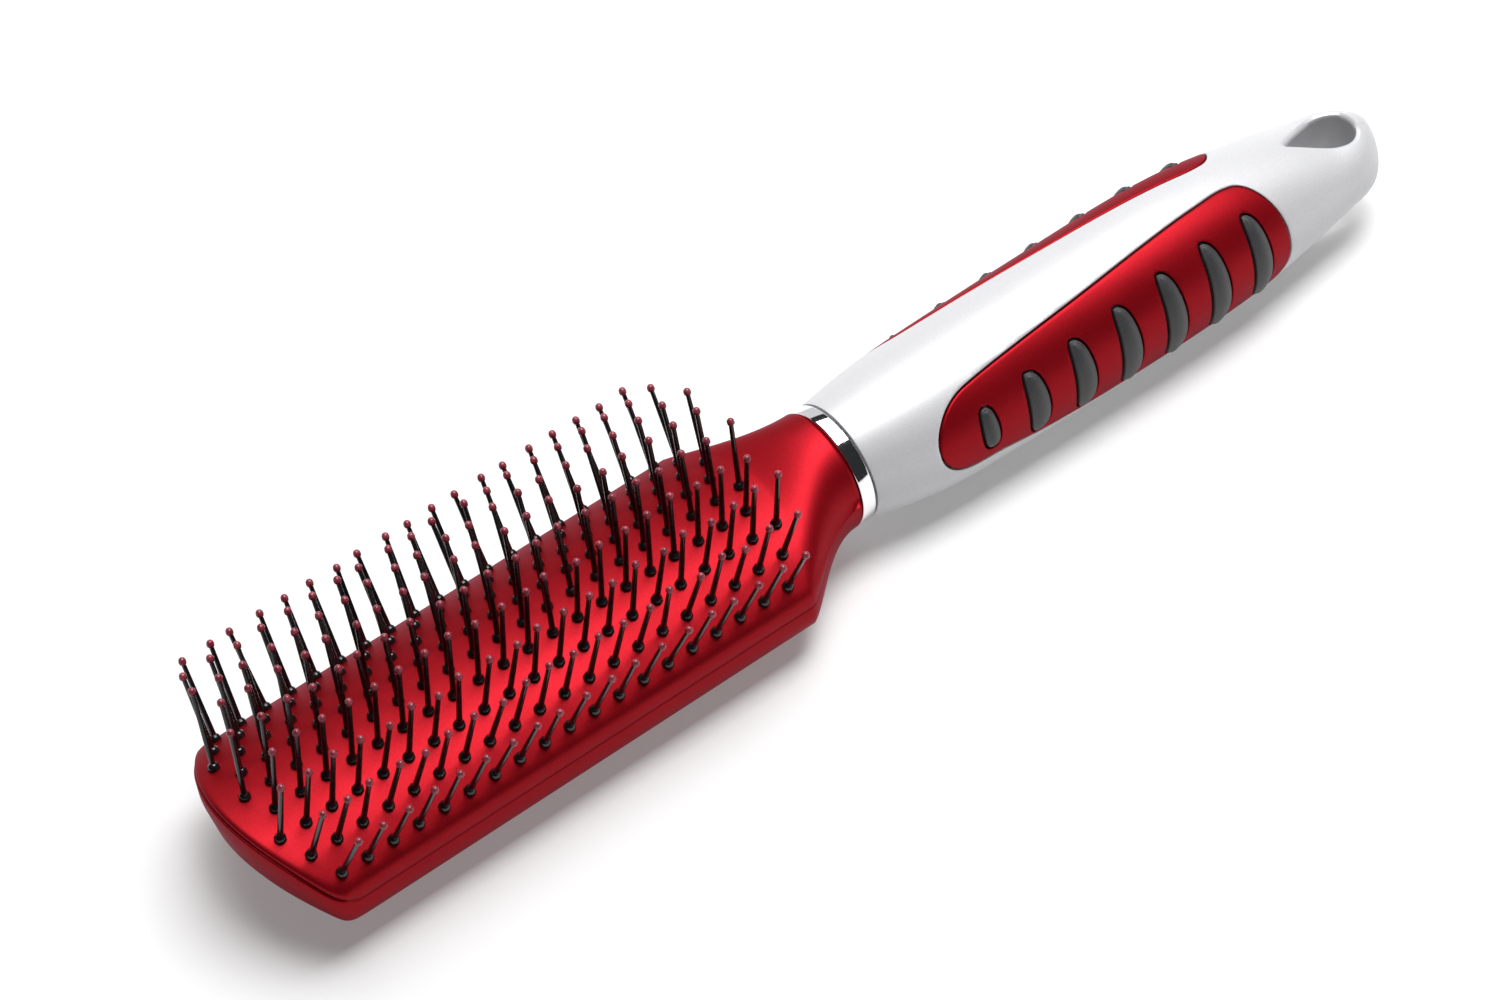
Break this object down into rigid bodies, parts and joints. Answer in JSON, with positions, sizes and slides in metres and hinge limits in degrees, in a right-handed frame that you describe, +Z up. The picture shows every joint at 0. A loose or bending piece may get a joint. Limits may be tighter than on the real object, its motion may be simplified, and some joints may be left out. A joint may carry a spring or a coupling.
{
  "type": "hairbrush",
  "caption": "Styling hairbrush with a crowned red head, leaning rows of ball-tipped pins, a chrome neck ring and a silver handle with ribbed red grips.",
  "frame": {"origin": "middle of the brush's box at the surface that it lies on", "axes": "+X from the toe of the head to the end of the handle, +Z up the pins, Y across; the XZ plane is the plane of symmetry"},
  "size_m": [0.227, 0.0486, 0.0359],
  "materials": {
    "red_lacquer": "satin pearl lacquer on moulded plastic",
    "black_nylon": "smooth black nylon, dark red tips",
    "chrome": "mirror plated",
    "inner_plastic": "plain moulded, not seen",
    "pearl_silver": "pearl silver satin",
    "grey_rubber": "satin soft-touch"
  },
  "bodies": {
    "root": {"head_cover": "red_lacquer", "head_base": "red_lacquer", "pin_row_1": "black_nylon", "pin_row_2": "black_nylon", "pin_row_3": "black_nylon", "pin_row_4": "black_nylon", "pin_row_5": "black_nylon", "pin_row_6": "black_nylon", "pin_row_7": "black_nylon", "pin_row_8": "black_nylon", "pin_row_9": "black_nylon", "neck_ring": "chrome", "tang": "inner_plastic", "handle_body": "pearl_silver", "grip_panel_right": "red_lacquer", "grip_panel_left": "red_lacquer", "grip_rib_right_1": "grey_rubber", "grip_rib_right_2": "grey_rubber", "grip_rib_right_3": "grey_rubber", "grip_rib_right_4": "grey_rubber", "grip_rib_right_5": "grey_rubber", "grip_rib_right_6": "grey_rubber", "grip_rib_right_7": "grey_rubber", "grip_rib_left_1": "grey_rubber", "grip_rib_left_2": "grey_rubber", "grip_rib_left_3": "grey_rubber", "grip_rib_left_4": "grey_rubber", "grip_rib_left_5": "grey_rubber", "grip_rib_left_6": "grey_rubber", "grip_rib_left_7": "grey_rubber"}
  },
  "joints": []
}
